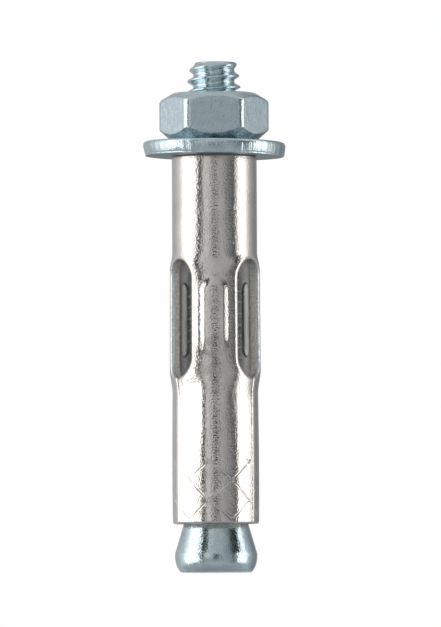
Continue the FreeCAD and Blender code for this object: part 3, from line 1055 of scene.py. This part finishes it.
def make_world():
    """White world, which the camera, the metal and anything clear see alike, and a plain level of light."""
    world = bpy.data.worlds.new("studio")
    bpy.context.scene.world = world
    world.use_nodes = True
    nodes = Nodes(world.node_tree, "ShaderNodeOutputWorld")
    plain = nodes.add("ShaderNodeBackground", {"Color": (0.7, 0.7, 0.7, 1.0), "Strength": 1.0})
    white = nodes.add("ShaderNodeBackground", {"Color": (1.0, 1.0, 1.0, 1.0), "Strength": 1.0})
    path = nodes.add("ShaderNodeLightPath", {}).outputs
    seen = nodes.math("MAXIMUM", path["Is Camera Ray"], path["Is Glossy Ray"])
    nodes.choose(nodes.math("MAXIMUM", seen, path["Is Transmission Ray"]), plain, white)


def level_colour(level):
    """Colour of the room at a level of brightness; its darker parts lean to blue."""
    shade = level / ROOM_PEAK
    cool = 1.0 - min(level, 1.0)
    return (shade * (1.0 - 0.10 * cool), shade * (1.0 - 0.01 * cool), shade * (1.0 + 0.03 * cool), 1.0)


def room_material():
    """Soft boxes, walls, flags and ceiling of the studio, by direction from the part."""
    material, nodes = new_material("studio_room")
    place = nodes.add("ShaderNodeTexCoord", {}).outputs["Object"]
    unit = nodes.add("ShaderNodeVectorMath", {0: place}, operation="NORMALIZE").outputs[0]
    x, y, z = nodes.add("ShaderNodeSeparateXYZ", {"Vector": unit}).outputs
    azimuth = nodes.math("ARCTAN2", x, nodes.math("MULTIPLY", y, -1.0))
    turn = nodes.math("ADD", nodes.math("DIVIDE", azimuth, FULL_TURN), 0.5)
    ramp = nodes.add("ShaderNodeValToRGB", {"Fac": turn})
    stops = ramp.color_ramp.elements
    stops.remove(stops[-1])
    for index, (angle, level) in enumerate(ROOM_LEVELS):
        position = angle / 360.0 + 0.5
        stop = stops.new(position) if index else stops[0]
        stop.position = position
        stop.color = level_colour(level)
    whole = ramp.outputs["Color"]

    def blend(share, level):
        """Lay a level of brightness over the room by a share."""
        return nodes.mix(share, whole, level_colour(level))

    def patch(start, end, bottom, top):
        """One inside a stretch of azimuth in degrees and of height, fading out round it."""
        start, end = math.radians(start), math.radians(end)
        sides = nodes.math(
            "MULTIPLY", nodes.range(azimuth, start - 0.03, start), nodes.range(azimuth, end + 0.05, end),
        )
        ends = nodes.math(
            "MULTIPLY", nodes.range(z, bottom - 0.02, bottom + 0.02), nodes.range(z, top + 0.03, top - 0.03),
        )
        return nodes.math("MULTIPLY", sides, ends)

    for *place, level in ROOM_PATCHES:
        whole = blend(patch(*place), level)
    half_width, middle, half_height = STAND
    sides = [
        nodes.math("POWER", nodes.math("ABSOLUTE", nodes.math("DIVIDE", off, half)), 4.0)
        for off, half in ((azimuth, half_width), (nodes.math("SUBTRACT", z, middle), half_height))
    ]
    whole = blend(nodes.range(nodes.math("ADD", *sides), 1.12, 0.88), STAND_LEVEL)
    whole = blend(nodes.range(z, 0.62, 0.9), CEILING_LEVEL)
    ground = nodes.mix(nodes.range(z, -0.50, -0.85), *(level_colour(level) for level in GROUND_LEVELS))
    whole = nodes.mix(nodes.range(z, -0.34, -0.42), whole, ground)
    for *place, level in BOX_FEET:
        whole = blend(patch(*place), level)
    glow = nodes.add("ShaderNodeEmission", {"Color": whole, "Strength": ROOM_PEAK})
    nodes.link(glow.outputs["Emission"], nodes.surface)
    return material


def make_room():
    """Ball-shaped room round the studio. It lights the part, and the camera looks through it."""
    bm = bmesh.new()
    bmesh.ops.create_uvsphere(bm, u_segments=36, v_segments=18, radius=ROOM_RADIUS)
    mesh = bpy.data.meshes.new("studio_room")
    bm.to_mesh(mesh)
    bm.free()
    mesh.materials.append(room_material())
    room = add_object("studio_room", mesh)
    room.visible_camera = False
    room.visible_shadow = False


def make_floor():
    """Pale floor that the part stands on; from below, where the photograph looks from, it is clear."""
    material, nodes = new_material("pale_floor")
    matt = nodes.add("ShaderNodeBsdfPrincipled", {"Base Color": (0.88, 0.88, 0.88, 1.0), "Roughness": 0.9})
    clear = nodes.add("ShaderNodeBsdfTransparent", {})
    nodes.choose(nodes.add("ShaderNodeNewGeometry", {}).outputs["Backfacing"], matt, clear)
    mesh = bpy.data.meshes.new("floor")
    r = FLOOR_REACH
    corners = [(x, y, FLOOR_HEIGHT) for x, y in ((-r, -r), (r, -r), (r, r), (-r, r))]
    mesh.from_pydata(corners, [], [(0, 1, 2, 3)])
    mesh.materials.append(material)
    floor = add_object("floor", mesh)
    floor.visible_glossy = False


def make_camera():
    """Camera that looks at the target, leaned a little to one side as in the photograph."""
    place = Vector(CAMERA_PLACE)
    turn = (Vector(CAMERA_TARGET) - place).to_track_quat("-Z", "Y").to_matrix().to_4x4()
    data = bpy.data.cameras.new("camera")
    data.lens = CAMERA_LENS
    data.clip_start = 0.1
    data.clip_end = 50.0
    camera = add_object("camera", data)
    camera.matrix_world = Matrix.Translation(place) @ turn @ Matrix.Rotation(-CAMERA_LEAN, 4, "Z")
    bpy.context.scene.camera = camera


def main():
    bpy.context.scene.view_settings.view_transform = "Standard"
    stud_zinc, wall_zinc, underside_shade_zinc, *nut_zincs = zinc_materials()
    make_stud([stud_zinc])
    make_washer([wall_zinc, underside_shade_zinc])
    make_nut(nut_zincs)
    make_sleeve(sleeve_materials())
    make_world()
    make_room()
    make_floor()
    make_camera()


main()
